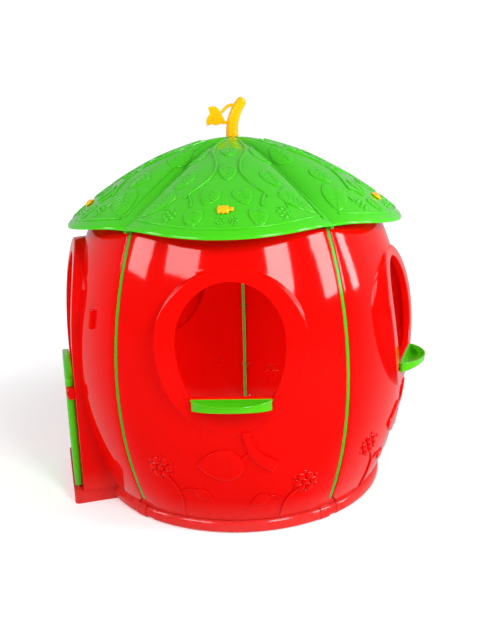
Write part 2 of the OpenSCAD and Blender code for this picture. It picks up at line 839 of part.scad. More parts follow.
module hinge_bracket() {
    z0 = bracket_z - bracket_h / 2;
    color(red) difference() {
        union() {
            at_hinge(z0) cylinder(r = knuckle_r, h = bracket_h);
            at_hinge(z0) translate([0, -bracket_out, 0])
                cube([bracket_l, leaf_t / 2 + leaf_gap + bracket_out - gap, bracket_h]);
        }
        at_hinge(0) cylinder(r = pin_r + run_fit, h = FAR, $fn = 32);
        bracket_holes();
    }
}

module bracket_screw_places() {
    for (z = [-15, 15]) at_hinge(bracket_z + z) translate([bracket_l - 9, -bracket_out, 0])
        rotate([90, 0, 0]) children();
}

module bracket_holes() {
    bracket_screw_places() translate([0, 0, -50]) cylinder(r = screw_r + 0.2, h = 60, $fn = 24);
}

module bracket_screws() {
    color(steel) bracket_screw_places() {
        translate([0, 0, -36]) cylinder(r = screw_r, h = 37, $fn = 24);
        cylinder(r = screw_r * 2, h = 2.5, $fn = 24);
    }
}

module hinge_pin_upper() {
    color(steel) at_hinge(bracket_z - bracket_h / 2 - pin_grip)
        cylinder(r = pin_r, h = bracket_h + pin_grip + 12, $fn = 32);
}

module hinge_pin_lower() {
    color(steel) at_hinge(step_h - pin_sink) cylinder(r = pin_r, h = pin_sink + 44, $fn = 32);
}

// ---- groups of fixings ----

panel_stack = (edge + wall) * 2;
seam_stack = seam_x * 2;

module panel_bolts() {
    color(steel) at_corners() bolt_places() bolt(panel_stack);
}

module panel_nuts() {
    color(steel) at_corners() bolt_places() nut(panel_stack);
}

module roof_bolts() {
    color(steel) at_corners() seam_bolt_places() bolt(seam_stack);
}

module roof_nuts() {
    color(steel) at_corners() seam_bolt_places() nut(seam_stack);
}

FRONT = 0;
RIGHT = 1;
BACK_RIGHT = 2;
BACK_LEFT = 3;
DOOR = 4;

at_side(FRONT) base_rail();  // base_rail_front
at_side(RIGHT) base_rail();  // base_rail_right
at_side(BACK_RIGHT) base_rail();  // base_rail_back_right
at_side(BACK_LEFT) base_rail();  // base_rail_back_left
at_side(DOOR) base_rail_door();
at_side(FRONT) wall_panel("window");  // wall_panel_front
at_side(RIGHT) wall_panel("window");  // wall_panel_right
at_side(BACK_RIGHT) wall_panel("blind");  // wall_panel_back_right
at_side(BACK_LEFT) wall_panel("blind");  // wall_panel_back_left
at_side(DOOR) wall_panel("door");  // wall_panel_door
at_side(FRONT) rotate([0, 0, HALF_A]) corner_strip();  // corner_strip_1
at_side(RIGHT) rotate([0, 0, HALF_A]) corner_strip();  // corner_strip_2
at_side(BACK_RIGHT) rotate([0, 0, HALF_A]) corner_strip();  // corner_strip_3
at_side(BACK_LEFT) rotate([0, 0, HALF_A]) corner_strip();  // corner_strip_4
at_side(DOOR) rotate([0, 0, HALF_A]) corner_strip();  // corner_strip_5
at_side(FRONT) roof_petal();  // roof_petal_front
at_side(RIGHT) roof_petal();  // roof_petal_right
at_side(BACK_RIGHT) roof_petal();  // roof_petal_back_right
at_side(BACK_LEFT) roof_petal();  // roof_petal_back_left
at_side(DOOR) roof_petal();  // roof_petal_door
at_side(FRONT) roof_latch();  // roof_latch_front
at_side(RIGHT) roof_latch();  // roof_latch_right
at_side(BACK_RIGHT) roof_latch();  // roof_latch_back_right
at_side(BACK_LEFT) roof_latch();  // roof_latch_back_left
at_side(DOOR) roof_latch();  // roof_latch_door
roof_hub();
stalk();
stalk_nut();
at_side(FRONT) tray();  // tray_front
at_side(RIGHT) tray();  // tray_right
tray_screws();
at_side(DOOR) door_leaf();
at_side(DOOR) hinge_bracket();
at_side(DOOR) bracket_screws();
at_side(DOOR) hinge_pin_upper();
at_side(DOOR) hinge_pin_lower();
panel_bolts();
panel_nuts();
roof_bolts();
roof_nuts();
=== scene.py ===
import math

import bmesh
import bpy
from mathutils import Matrix, Vector


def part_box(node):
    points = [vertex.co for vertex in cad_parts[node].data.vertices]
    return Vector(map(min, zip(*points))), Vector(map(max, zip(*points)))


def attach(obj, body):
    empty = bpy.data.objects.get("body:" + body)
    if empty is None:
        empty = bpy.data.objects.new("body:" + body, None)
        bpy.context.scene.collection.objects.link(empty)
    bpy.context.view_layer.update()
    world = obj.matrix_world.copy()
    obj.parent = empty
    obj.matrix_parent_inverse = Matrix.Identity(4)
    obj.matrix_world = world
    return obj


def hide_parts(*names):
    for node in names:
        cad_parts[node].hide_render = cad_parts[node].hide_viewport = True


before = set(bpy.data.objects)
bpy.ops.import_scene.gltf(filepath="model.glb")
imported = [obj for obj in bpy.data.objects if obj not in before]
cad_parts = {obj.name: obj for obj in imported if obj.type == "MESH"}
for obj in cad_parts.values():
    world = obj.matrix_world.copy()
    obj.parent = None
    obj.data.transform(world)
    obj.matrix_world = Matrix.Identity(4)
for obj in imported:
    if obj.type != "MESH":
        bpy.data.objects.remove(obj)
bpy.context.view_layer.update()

# ---- Ring of base rails ----
# Five hollow red rails, moulded in polyethylene, that push together end to end on
# the ground: each has a sleeve at one end and a thinner spigot at the other.


class Wire:
    """A shader socket that can be used in plain arithmetic."""

    def __init__(self, nodes, socket):
        self.nodes = nodes
        self.socket = socket

    def reckon(self, kind, a, b):
        return self.nodes.node("ShaderNodeMath", {"operation": kind}, {0: a, 1: b})

    def __add__(self, other):
        return self.reckon("ADD", self, other)

    def __sub__(self, other):
        return self.reckon("SUBTRACT", self, other)

    def __rsub__(self, other):
        return self.reckon("SUBTRACT", other, self)

    def __mul__(self, other):
        return self.reckon("MULTIPLY", self, other)

    __radd__ = __add__
    __rmul__ = __mul__


class Nodes:
    """A node tree, filled in one node at a time, and the shader that it feeds."""

    def __init__(self, tree, shader):
        self.tree = tree
        self.shader = tree.nodes[shader]

    def node(self, kind, settings=None, inputs=None, output=0):
        made = self.tree.nodes.new(kind)
        for key, value in (settings or {}).items():
            setattr(made, key, value)
        for key, value in (inputs or {}).items():
            if isinstance(value, Wire):
                self.tree.links.new(value.socket, made.inputs[key])
            else:
                made.inputs[key].default_value = value
        return Wire(self, made.outputs[output])

    def feed(self, name, wire):
        self.tree.links.new(wire.socket, self.shader.inputs[name])

    def blend(self, amount, a, b):
        return self.node("ShaderNodeMix", {"data_type": "RGBA"}, {0: amount, 6: a, 7: b}, output=2)


class Finish(Nodes):
    """One surface finish; what is the same all over it is given as fixed values."""

    def __init__(self, name, **fixed):
        self.material = bpy.data.materials.new(name)
        self.material.use_nodes = True
        super().__init__(self.material.node_tree, "Principled BSDF")
        for key, value in fixed.items():
            self.shader.inputs[key.replace("_", " ")].default_value = value


def moulded(name, colour, shade, gloss=0.07, grain=0.00006, ground_dust=0.12, **fixed):
    """Glossy coloured polyethylene with the ripple and scuffs of a moulded skin."""
    f = Finish(name, **{"IOR": 1.32, "Coat_Roughness": 0.04, **fixed})
    place = f.node("ShaderNodeTexCoord", output="Object")
    height = f.node("ShaderNodeSeparateXYZ", None, {0: place}, output="Z")
    cloud = f.node("ShaderNodeTexNoise", None, {"Vector": place, "Scale": 2.6, "Detail": 3.0})
    scuff = f.node("ShaderNodeTexNoise", None,
                   {"Vector": place, "Scale": 34.0, "Detail": 6.0, "Roughness": 0.7})
    peel = f.node("ShaderNodeTexNoise", None, {"Vector": place, "Scale": 150.0, "Detail": 2.0})
    ripple = f.node("ShaderNodeTexNoise", None, {"Vector": place, "Scale": 7.0, "Detail": 1.0})
    low = f.node("ShaderNodeMath", {"operation": "SUBTRACT", "use_clamp": True}, {0: 1.0, 1: height * 7.0})
    tone = f.blend(cloud, colour, shade)
    dusty = f.blend(low * scuff * ground_dust, tone, (0.62, 0.55, 0.5, 1.0))
    f.feed("Base Color", dusty)
    f.feed("Roughness", gloss + (scuff - 0.4) * 0.08 + low * 0.08)
    f.feed("Coat Weight", 0.22 - scuff * 0.2)
    swell = f.node("ShaderNodeBump", None, {"Strength": 0.3, "Distance": 0.001, "Height": ripple})
    skin = f.node("ShaderNodeBump", None,
                  {"Strength": 0.5, "Distance": grain, "Height": peel, "Normal": swell})
    f.feed("Normal", skin)
    return f


red_plastic = moulded("red moulded plastic", (0.72, 0.0022, 0.0008, 1.0), (0.61, 0.0014, 0.0008, 1.0))

sides = ["front", "right", "back_right", "back_left", "door"]


def finish_node(name, finish):
    """Gives a CAD node its finish."""
    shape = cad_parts[name]
    for place in shape.material_slots:
        place.material = finish.material


for side in sides:
    finish_node("base_rail_" + side, red_plastic)

# ---- Wall panels with a window ----
# Two red panels, each one moulding: a barrel-curved wall with flanges turned in
# along its edges, and a flat apple-shaped frame that stands out round the window.

BELLY_R, BELLY_Z, CURVE_R = 0.695, 0.566, 1.290
WALL_TOP, WALL_FOOT, WALL_T = 1.100, 0.0503, 0.005
CORNER = math.radians(36)
FLANGE = 0.045
TOP_FLANGE, FOOT_FLANGE = 0.040, 0.012
SEAM_HALF = 0.0072
FOOT_CUT_Z = 0.095          # below this the panel's corners are cut away for the rails' sleeves
APPLE = Vector((0.008, 0.755))
APPLE_HALF, APPLE_UP, APPLE_DOWN = 0.2575, 0.237, 0.326
WINDOW_X, WINDOW_HALF, WINDOW_UP, WINDOW_DOWN, WINDOW_SILL = 0.006, 0.184, 0.194, 0.281, 0.565
FRAME_PROUD = 0.003


def barrel(z):
    return BELLY_R - CURVE_R + math.sqrt(CURVE_R ** 2 - (z - BELLY_Z) ** 2)


def on_wall(x, z, out=0.0):
    r = barrel(z)
    grow = (r + out) / r
    return Vector((x * grow, -math.sqrt(r * r - x * x) * grow, z))


def pull(bm, loops, closed=True, ends=(False, False)):
    """Draws a loop of points out through the next loops with the extrude operator."""
    whole, bm = bm, bmesh.new()
    ring = [bm.verts.new(p) for p in loops[0]]
    count = len(ring)
    edges = [bm.edges.new((ring[i], ring[(i + 1) % count])) for i in range(count if closed else count - 1)]
    if ends[0]:
        bm.faces.new(ring)
    for loop in loops[1:]:
        made = bmesh.ops.extrude_edge_only(bm, edges=edges)["geom"]
        new = {v for v in made if isinstance(v, bmesh.types.BMVert)}
        ring = [next(e.other_vert(v) for e in v.link_edges if e.other_vert(v) in new) for v in ring]
        for v, p in zip(ring, loop):
            v.co = p
        edges = [e for e in made if isinstance(e, bmesh.types.BMEdge)
                 and e.verts[0] in new and e.verts[1] in new]
    if ends[1]:
        bm.faces.new(ring)
    add_part(whole, bm)


def add_part(whole, bm):
    """Joins a finished part to the rest of its moulding, with its faces turned outwards."""
    bmesh.ops.recalc_face_normals(bm, faces=bm.faces)
    if bm.calc_volume(signed=True) < 0:
        bmesh.ops.reverse_faces(bm, faces=bm.faces)
    mesh = bpy.data.meshes.new("part")
    bm.to_mesh(mesh)
    bm.free()
    whole.from_mesh(mesh)
    bpy.data.meshes.remove(mesh)


def moulding(bm, name, finish, body, nodes, turn=0.0, crease=38):
    """Turns a finished bmesh into a piece on its side of the house."""
    bmesh.ops.remove_doubles(bm, verts=bm.verts, dist=0.00001)
    bmesh.ops.rotate(bm, verts=bm.verts, cent=(0, 0, 0), matrix=Matrix.Rotation(math.radians(turn), 3, "Z"))
    mesh = bpy.data.meshes.new(name)
    bm.to_mesh(mesh)
    bm.free()
    mesh.polygons.foreach_set("use_smooth", [True] * len(mesh.polygons))
    mesh.set_sharp_from_angle(angle=math.radians(crease))
    mesh.materials.append(finish.material)
    piece = bpy.data.objects.new(name, mesh)
    bpy.context.scene.collection.objects.link(piece)
    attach(piece, body)
    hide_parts(*nodes)
    return piece


def border(u, w, inset, out, least=None):
    """Point near a panel's edge: u across and w up, drawn in by inset, at least least to the left."""
    z = WALL_FOOT + inset + (WALL_TOP - WALL_FOOT - 2 * inset) * w
    r = barrel(z)
    half = r * (CORNER - math.asin(max(SEAM_HALF, FOOT_CUT_Z - z) / r)) - inset
    turn = u * half / r
    if least is not None:
        turn = min(turn, -math.asin((least - inset * 0.2) / r)) if u < 0 else turn
    return Vector(((r + out) * math.sin(turn), -(r + out) * math.cos(turn), z))


def flange_depth(w):
    return TOP_FLANGE if w > 0.999 else (FOOT_FLANGE if w < 0.001 else FLANGE)


def apple(a, g):
    """Outline of the frame: a small cleft above and a blunt point below."""
    deg = math.degrees(a) % 360
    if deg < 180:
        reach = APPLE_UP + g - 0.014 * math.exp(-((deg - 96) / 9) ** 2)
    else:
        hollow = 0.016 * math.exp(-((deg - 270) / 22) ** 2)
        point = 0.016 * math.exp(-((deg - 270) / 9) ** 2)
        reach = APPLE_DOWN + g - hollow + point
    return Vector((APPLE.x + (APPLE_HALF + g) * math.cos(a), APPLE.y + reach * math.sin(a)))


def egg(a, g):
    """Outline of the window, an egg with a flat sill."""
    up = WINDOW_UP if math.sin(a) > 0 else WINDOW_DOWN
    return Vector((WINDOW_X + (WINDOW_HALF + g) * math.cos(a),
                   max(APPLE.y + (up + g) * math.sin(a), WINDOW_SILL - g)))


def frame_face(z):
    return barrel(z) + FRAME_PROUD


def on_frame(p, back=0.0, least=None):
    """Point on the flat frame, set back, but never behind the wall where least is given."""
    d = frame_face(p.y) - back
    if least is not None:
        d = max(d, math.sqrt(barrel(p.y) ** 2 - p.x ** 2) + least)
    return Vector((p.x, -d, p.y))


def ring_places():
    """Places round a panel's edge, from its left foot; u runs across and w up, closer at the foot."""
    low = [(-1 + 2 * i / 40, 0.0) for i in range(40)]
    top = [(1 - 2 * i / 40, 1.0) for i in range(40)]
    foot = [0.012, 0.026]
    side = [0.037 + 0.963 * i / 58 for i in range(58)]
    rise = [(1.0, w) for w in [0.0] + foot + side]
    fall = [(-1.0, 1 - 0.963 * i / 58) for i in range(58)]
    return low + rise + top + fall + [(-1.0, w) for w in (0.037, 0.026, 0.012)]


places = ring_places()
bearings = []
for u, w in places:
    p = border(u, w, 0.0, 0.0)
    up = (p.z - APPLE.y) / (APPLE_UP if p.z > APPLE.y else APPLE_DOWN)
    bearings.append(math.atan2(up, (p.x - APPLE.x) / APPLE_HALF))


def rim_loops(back=False):
    """The turned-in edge of a panel, from the flange's inner end to the wall's face."""
    if back:
        return [[border(u, w, WALL_T, -0.008) for u, w in places],
                [border(u, w, WALL_T, -flange_depth(w)) for u, w in places]]
    steps = [(0.0, -0.0045), (0.0008, -0.0018), (0.0025, -0.0003), (0.005, 0.0)]
    return [[border(u, w, 0.0, -flange_depth(w)) for u, w in places]] + \
        [[border(u, w, i, o) for u, w in places] for i, o in steps]


def wall_loops(parts, out=0.0, inset=0.005, g=0.003):
    """Loops across the wall, a part of the way from the panel's edge to the frame."""
    loops = []
    for t in parts:
        loop = []
        for (u, w), a in zip(places, bearings):
            p = border(u, w, inset, 0.0)
            q = apple(a, g)
            loop.append(on_wall(p.x + (q.x - p.x) * t, p.z + (q.y - p.z) * t, out))
        loops.append(loop)
    return loops


def frame_loops():
    """The frame's rounded outer edge, from the wall up to its flat face."""
    steps = [(0.0, 0.006, 0.0012), (-0.001, 0.0018, 0.002), (-0.003, 0.0004, 0.0024), (-0.006, 0.0, 0.0025)]
    return [[on_frame(apple(a, g), back, least) for a in bearings] for g, back, least in steps]


def inner_loops(parts):
    """The inside of the wall, from the back of the frame out to the flange."""
    g = -0.0055
    return [[on_frame(apple(a, g), WALL_T) for a in bearings],
            [on_wall(*apple(a, g), -WALL_T) for a in bearings]] + wall_loops(parts, -WALL_T, 0.010, g)


def opening_loops():
    """The frame's face, then the rounded sleeve that is turned in round the window."""
    loops = []
    for t in (0.25, 0.5, 0.75):
        loops.append([on_frame(apple(a, -0.006).lerp(egg(a, 0.006), t)) for a in bearings])
    steps = [(0.006, 0.0), (0.002, 0.0006), (0.0004, 0.0025), (0.0, 0.006), (0.0, 0.026), (0.005, 0.026),
             (0.005, 0.0055)]
    return loops + [[on_frame(egg(a, g), back) for a in bearings] for g, back in steps]


def smoothed(path):
    """A path with its corners cut twice, as points and the directions to their left."""
    points = [Vector(p) for p in path]
    for _ in range(2):
        finer = [points[0]]
        for a, b in zip(points, points[1:]):
            finer += [a.lerp(b, 0.25), a.lerp(b, 0.75)]
        points = finer + [points[-1]]
    out = []
    for i, p in enumerate(points):
        way = (points[min(i + 1, len(points) - 1)] - points[max(i - 1, 0)]).normalized()
        out.append((p, Vector((-way.y, way.x))))
    return out


def ridge(bm, surface, path, width, rise, base=-0.001):
    """A rounded raised line along a path that lies on a surface."""
    soft = min(width * 0.3, 0.004)
    half = width / 2
    section = [(-half, base), (-half, rise * 0.35), (-half + soft * 0.35, rise * 0.8), (-half + soft, rise),
               (half - soft, rise), (half - soft * 0.35, rise * 0.8), (half, rise * 0.35), (half, base)]
    loops = []
    for p, left in smoothed(path):
        loops.append([surface(p.x + left.x * s, p.y + left.y * s, h) for s, h in section])
    pull(bm, loops, ends=(True, True))


def shrunk(outline, by):
    """An outline drawn in by the same distance all round."""
    out = []
    for i, p in enumerate(outline):
        a = (p - outline[i - 1]).normalized()
        b = (outline[(i + 1) % len(outline)] - p).normalized()
        n = Vector((-a.y - b.y, a.x + b.x))
        n = n.normalized() / max(0.5, math.sqrt(max(0.0, (1 + a.dot(b)) / 2)))
        out.append(p + n * by)
    return out


def pillow(bm, surface, outline, rise, soft=0.004, base=-0.001):
    """A raised patch with a rounded edge; the outline runs anticlockwise."""
    steps = [(0.0, base), (0.0, rise * 0.4), (soft * 0.3, rise * 0.8), (soft, rise)]
    loops = [[surface(p.x, p.y, h) for p in shrunk(outline, g)] for g, h in steps]
    middle = sum(outline, Vector((0, 0))) / len(outline)
    for k in (0.6, 0.25, 0.04):
        loops.append([surface(*middle.lerp(p, k), rise) for p in outline])
    pull(bm, loops, ends=(True, True))


def leaf_shape(at, length, width, turn, notch=0.0, count=30):
    """A leaf with its point at the far end and, with a notch, a heart's lobes at the near end."""
    spin = Matrix.Rotation(math.radians(turn), 2)
    shape = []
    for i in range(count):
        t = 2 * math.pi * i / count
        x = length / 2 * math.cos(t) + notch * length * math.exp(-((t - math.pi) / 0.45) ** 2)
        y = width / 2 * math.copysign(abs(math.sin(t)) ** 1.25, math.sin(t)) * (1 - 0.3 * math.cos(t))
        shape.append(Vector(at) + spin @ Vector((x, y)))
    return shape


def leaf(bm, surface, at, length, width, turn, rise, notch=0.0, veins=2):
    """A raised leaf with a rib and side veins standing on it."""
    pillow(bm, surface, leaf_shape(at, length, width, turn, notch), rise)
    spin = Matrix.Rotation(math.radians(turn), 2)
    fine = length * 0.018 + 0.0008

    def line(*ends):
        ridge(bm, surface, [Vector(at) + spin @ Vector(e) for e in ends], fine, rise + 0.0011, rise - 0.0004)

    if veins:
        line((-length * (0.42 - notch), 0), (0, 0), (length * 0.4, 0))
    for i in range(veins):
        x = length * (-0.26 + 0.52 * i / max(1, veins - 1) * 0.75)
        for s in (-1, 1):
            line((x, 0), (x + length * 0.1, s * width * 0.16), (x + length * 0.16, s * width * 0.3))


def lump(bm, middle, axis, radius, rise):
    """A low round button, flattened along its axis."""
    turn = axis.to_track_quat("Z", "Y").to_matrix().to_4x4()
    part = bmesh.new()
    bmesh.ops.create_uvsphere(part, u_segments=18, v_segments=10, radius=radius,
                              matrix=Matrix.Translation(middle) @ turn
                              @ Matrix.Diagonal((1, 1, rise / radius, 1)))
    add_part(bm, part)


def flower(bm, surface, at, reach, radius, rise):
    """A cluster of seven round buttons with a ring of small petals."""
    def button(x, y, r, h):
        middle = surface(x, y, 0.0)
        lump(bm, middle, surface(x, y, 1.0) - middle, r, h)

    button(at[0], at[1], radius * 0.9, rise)
    for i in range(6):
        a = math.radians(60 * i)
        button(at[0] + reach * math.cos(a), at[1] + reach * math.sin(a), radius, rise)
        b = a + math.radians(30)
        button(at[0] + reach * 1.55 * math.cos(b), at[1] + reach * 1.55 * math.sin(b),
               radius * 0.42, rise * 0.6)


def wall_plants(bm):
    """The apple's stalk and leaf, and a flower on each side, raised on a wall."""
    top, bend, tip = Vector((0.049, 0.444)), Vector((0.056, 0.345)), Vector((0.150, 0.296))
    left, right = [], []
    for i in range(19):
        t = i / 18
        middle = top * (1 - t) ** 2 + bend * 2 * t * (1 - t) + tip * t * t
        way = ((bend - top) * (1 - t) + (tip - bend) * t).normalized()
        aside = Vector((way.y, -way.x)) * (0.0145 + 0.012 * t * t)
        left.append(middle + aside)
        right.append(middle - aside)
    pillow(bm, on_wall, left + right[::-1], 0.010, 0.005)
    ridge(bm, on_wall, [(0.070, 0.362), (0.052, 0.354), (0.034, 0.336)], 0.010, 0.006)
    pillow(bm, on_wall, leaf_shape((-0.041, 0.310), 0.164, 0.124, 180), 0.0075, 0.006)
    ridge(bm, on_wall, [(-0.008, 0.336), (-0.005, 0.300), (-0.006, 0.264)], 0.003, 0.0088, 0.006)
    ridge(bm, on_wall, [(-0.236, 0.246), (-0.196, 0.190), (-0.184, 0.130), (-0.188, 0.064)], 0.008, 0.0062)
    ridge(bm, on_wall, [(0.230, 0.186), (0.188, 0.151), (0.169, 0.100), (0.163, 0.064)], 0.008, 0.0062)
    ridge(bm, on_wall, [(-0.191, 0.182), (-0.156, 0.203), (-0.124, 0.190)], 0.006, 0.005)
    ridge(bm, on_wall, [(0.179, 0.140), (0.152, 0.168), (0.118, 0.166)], 0.006, 0.005)
    leaf(bm, on_wall, (-0.104, 0.172), 0.076, 0.044, -36, 0.0052, veins=0)
    leaf(bm, on_wall, (0.088, 0.150), 0.076, 0.046, 215, 0.0052, veins=0)
    for turn, z in ((-22.9, 0.279), (23.1, 0.211)):
        at = (barrel(z) * math.sin(math.radians(turn)), z)
        flower(bm, on_wall, at, 0.029, 0.0152, 0.0085)


window_wall = bmesh.new()
parts = (0.08, 0.2, 0.34, 0.48, 0.62, 0.76, 0.9, 1.0)
edge_loops = rim_loops()
pull(window_wall, edge_loops + wall_loops(parts) + frame_loops() + opening_loops() +
     inner_loops((0.7, 0.35, 0.0)) + rim_loops(back=True) + [edge_loops[0]])
wall_plants(window_wall)
for number, side in ((0, "front"), (1, "right")):
    moulding(window_wall.copy(), "wall_" + side, red_plastic, "house",
             ["wall_panel_" + side], 72 * number)

# ---- Blind wall panels ----
# The two panels at the back are the same moulding with the apple left closed.

blind_wall = bmesh.new()
faces = [[on_frame(APPLE.lerp(apple(a, -0.006), k)) for a in bearings] for k in (0.8, 0.5, 0.2, 0.02)]
backs = [[on_frame(APPLE.lerp(apple(a, -0.006), k), WALL_T) for a in bearings] for k in (0.02, 0.4, 0.75)]
pull(blind_wall, backs + inner_loops((0.7, 0.35, 0.0)) + rim_loops(back=True) + rim_loops() +
     wall_loops(parts) + frame_loops() + faces, ends=(True, True))
wall_plants(blind_wall)
for number, side in ((2, "back_right"), (3, "back_left")):
    moulding(blind_wall.copy(), "wall_" + side, red_plastic, "house",
             ["wall_panel_" + side], 72 * number)

# ---- Wall panel with the doorway ----
# One red moulding like the others, with a flat arched frame round a doorway that
# is open down to the step, and a small raised box for a bell beside it.

DOOR_X, DOOR_HALF, DOOR_FOOT, SPRING = -0.080, 0.185, 0.0563, 0.800
DOOR_FACE = 0.700           # how far the frame's face stands out at the belly
DOOR_BORDER = 0.3245        # the panel's left edge, cut short beside the doorway
BELL_Z, BELL_TURN, BELL_LEAN = 0.785, 23.5, -9.8


def door_face(z):
    return DOOR_FACE - (0.045 * ((z - BELLY_Z) / 0.434) ** 2 if z > BELLY_Z else 0.0)


def arch(t, g):
    """Outline of the doorway from its left foot over the top to its right foot."""
    half = DOOR_HALF + g
    if t < 0.325:
        return Vector((DOOR_X - half, DOOR_FOOT + (SPRING - DOOR_FOOT) * t / 0.325))
    if t > 0.675:
        return Vector((DOOR_X + half, DOOR_FOOT + (SPRING - DOOR_FOOT) * (1 - t) / 0.325))
    a = math.pi * (0.675 - t) / 0.35
    return Vector((DOOR_X + half * math.cos(a), SPRING + half * math.sin(a)))


def door_border(t, inset, out):
    """Edge of the door panel from its left foot over the top to its right foot."""
    if t < 0.4:
        return border(-1.0, t / 0.4, inset, out, DOOR_BORDER)
    if t > 0.6:
        return border(1.0, (1 - t) / 0.4, inset, out)
    return border(-1 + (t - 0.4) * 10, 1.0, inset, out)


def on_door_frame(p, back=0.0, least=None):
    d = door_face(p.y) - back
    if least is not None:
        d = max(d, math.sqrt(barrel(p.y) ** 2 - p.x ** 2) + least)
    return Vector((p.x, -d, p.y))


times = [i / 240 for i in range(241)]


def door_wall(parts, out=0.0, inset=0.005, g=0.058):
    loops = []
    for k in parts:
        loop = []
        for t in times:
            p = door_border(t, inset, 0.0)
            q = arch(t, g)
            loop.append(on_wall(p.x + (q.x - p.x) * k, p.z + (q.y - p.z) * k, out))
        loops.append(loop)
    return loops


def door_flange(t):
    return TOP_FLANGE if 0.4 <= t <= 0.6 else FLANGE


bm = bmesh.new()
turned = [[door_border(t, 0.0, -door_flange(t)) for t in times]]
loops = list(turned)
for inset, out in ((0.0, -0.0045), (0.0008, -0.0018), (0.0025, -0.0003), (0.005, 0.0)):
    loops.append([door_border(t, inset, out) for t in times])
loops += door_wall((0.1, 0.3, 0.5, 0.7, 0.9, 1.0))
for g, back, least in ((0.055, 0.006, 0.0012), (0.054, 0.0018, 0.002), (0.052, 0.0004, 0.0024),
                       (0.048, 0.0, 0.0025)):
    loops.append([on_door_frame(arch(t, g), back, least) for t in times])
for g, back in ((0.036, 0.0), (0.022, 0.0), (0.006, 0.0), (0.002, 0.0006), (0.0004, 0.0025), (0.0, 0.006),
                (0.0, 0.026), (0.005, 0.026), (0.005, 0.0055), (0.0495, 0.005)):
    loops.append([on_door_frame(arch(t, g), back) for t in times])
loops += door_wall((1.0, 0.5, 0.0), -WALL_T, 0.010, 0.0495)
loops.append([door_border(t, WALL_T, -0.008) for t in times])
loops.append([door_border(t, WALL_T, -door_flange(t)) for t in times])
pull(bm, loops + turned, closed=False)
bmesh.ops.remove_doubles(bm, verts=bm.verts, dist=0.00001)
bmesh.ops.holes_fill(bm, edges=[e for e in bm.edges if e.is_boundary])
bmesh.ops.recalc_face_normals(bm, faces=bm.faces)
bell_turn = Matrix.Rotation(math.radians(BELL_TURN), 4, "Z")
bell_lean = Matrix.Rotation(math.radians(BELL_LEAN), 4, "X")
bell_place = bell_turn @ Matrix.Translation((0, -barrel(BELL_Z) - 0.004, BELL_Z)) @ bell_lean
bell = bmesh.ops.create_cube(bm, size=1.0, matrix=bell_place @ Matrix.Diagonal((0.026, 0.020, 0.070, 1)))
bell_edges = list({e for v in bell["verts"] for e in v.link_edges})
bmesh.ops.bevel(bm, geom=bell_edges, offset=0.003, segments=3, profile=0.5, affect="EDGES", material=-1)
moulding(bm, "wall_door", red_plastic, "house", ["wall_panel_door"], 288)

# ---- Corner strips ----
# Flat green strips, clamped between the panels' flanges at the five corners.

# painted shade: the strips are green plastic, but both of their greens are set darker than the roof's green to stand
# in for the shadow in the gaps beside them
strip_green_with_painted_shade = moulded("strip green plastic", (0.06, 0.42, 0.014, 1.0), (0.03, 0.30, 0.010, 1.0),
                        gloss=0.16)
for number in range(1, 6):
    finish_node("corner_strip_" + str(number), strip_green_with_painted_shade)

# ---- Roof petals ----
# Five bright green mouldings, domed between valleys, with vines, leaves and
# flowers raised on them, a bead along the eaves and a rolled rim.

TIP_Z, TIP_R = 1.404, 0.018
PETAL_T = 0.004
SLOPE, BEND = 0.33, 0.24
DOME, DOME_REACH = 0.056, 0.72036
VALLEY_RIM_R, RIM_OUT = 0.608, 0.059
SEAT_R = 0.575


def valley_z(r):
    return TIP_Z - SLOPE * r - BEND * r * r


def roof_z(r, v):
    """Height of a petal at r from the axis, v from -1 to 1 between its two valleys."""
    swell = DOME * max(0.0, math.sin(math.pi * r / DOME_REACH)) ** 0.6
    return valley_z(r) + swell * (1 - abs(v) ** 3.6)


def rim_r(v):
    return VALLEY_RIM_R + RIM_OUT * (1 - abs(v) ** 2.2)


def roof_point(x, d):
    r = math.hypot(x, d)
    return Vector((x, -d - 0.0005, roof_z(r, min(1.0, abs(math.atan2(x, d)) / CORNER))))


def on_roof(x, d, out=0.0):
    """Point on a petal, x across and d out from the tip, lifted square to the surface."""
    p = roof_point(x, d)
    n = (roof_point(x + 0.003, d) - p).cross(roof_point(x, d - 0.003) - p).normalized()
    return p + n * (out if n.z > 0 else -out)


def petal_section(v):
    """One closed section of a petal, from its tip to the rolled rim and back."""
    r1 = rim_r(v)
    a = v * CORNER

    def at(r, drop):
        return Vector((r * math.sin(a), -r * math.cos(a) - 0.0005, roof_z(r, v) - drop))
    top = [at(TIP_R + (r1 - 0.009 - TIP_R) * i / 34, 0.0) for i in range(35)]
    roll = [at(r1 - 0.0055, 0.0004), at(r1 - 0.0025, 0.0018), at(r1 - 0.0006, 0.0045), at(r1, 0.0065),
            at(r1, 0.009)]
    under = [at(r1 - PETAL_T, 0.009), at(r1 - PETAL_T, 0.006)]
    back = [at(TIP_R + (r1 - 0.010 - TIP_R) * i / 17, PETAL_T) for i in range(17, -1, -1)]
    return top + roll + under + back


leaf_green = moulded("roof green plastic", (0.062, 0.52, 0.010, 1.0), (0.036, 0.42, 0.008, 1.0),
                     gloss=0.13)


